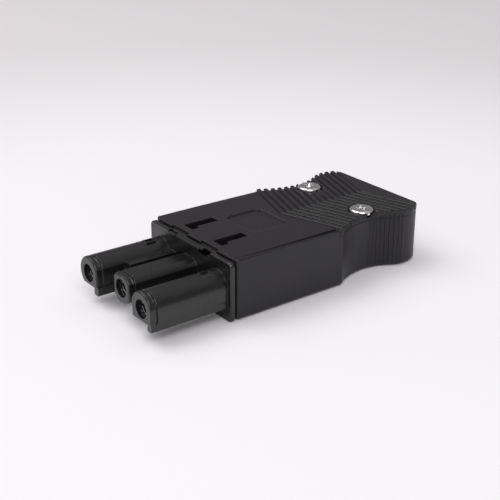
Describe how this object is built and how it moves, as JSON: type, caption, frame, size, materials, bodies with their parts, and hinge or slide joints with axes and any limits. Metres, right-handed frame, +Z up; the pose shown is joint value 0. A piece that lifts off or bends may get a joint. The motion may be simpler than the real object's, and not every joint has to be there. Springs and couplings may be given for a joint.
{
  "type": "power cable socket",
  "caption": "Flat rectangular female installation socket for a power cable, with keyed insulating fingers, latch windows, ribbed waisted grip and screwed cover",
  "frame": {"origin": "middle of the plan's bounding box, at the level of the lowest point", "axes": "+X along the socket from the mating fingers to the cable entry, +Y across to the side away from the camera in the picture, +Z up through the cover"},
  "size_m": [0.0728, 0.0308, 0.0143],
  "materials": {
    "housing_black": "fine-textured black moulded plastic",
    "insert_black": "satin black moulded plastic",
    "zinc_steel": "bright zinc-plated steel",
    "plated_contact": "bright plated copper alloy",
    "spring_steel": "plain spring steel",
    "clamp_brass": "machined brass"
  },
  "bodies": {
    "housing": {"lower_shell": "housing_black", "upper_shell": "housing_black", "contact_insert": "insert_black", "cable_clamp": "insert_black", "cover_screw_far": "zinc_steel", "cover_screw_near": "zinc_steel", "socket_contact_far": "plated_contact", "contact_spring_far": "spring_steel", "clamp_box_far": "clamp_brass", "socket_contact_mid": "plated_contact", "contact_spring_mid": "spring_steel", "clamp_box_mid": "clamp_brass", "socket_contact_near": "plated_contact", "contact_spring_near": "spring_steel", "clamp_box_near": "clamp_brass"},
    "clamp_screw_far": {"terminal_screw_far": "zinc_steel", "pressure_plate_far": "spring_steel"},
    "clamp_screw_mid": {"terminal_screw_mid": "zinc_steel", "pressure_plate_mid": "spring_steel"},
    "clamp_screw_near": {"terminal_screw_near": "zinc_steel", "pressure_plate_near": "spring_steel"}
  },
  "joints": [
    {"name": "clamp_screw_far_travel", "type": "slide", "parent": "housing", "child": "clamp_screw_far", "axis": [0, 0, -1], "range_m": [0, 0.0017]},
    {"name": "clamp_screw_mid_travel", "type": "slide", "parent": "housing", "child": "clamp_screw_mid", "axis": [0, 0, -1], "range_m": [0, 0.0017]},
    {"name": "clamp_screw_near_travel", "type": "slide", "parent": "housing", "child": "clamp_screw_near", "axis": [0, 0, -1], "range_m": [0, 0.0017]}
  ]
}
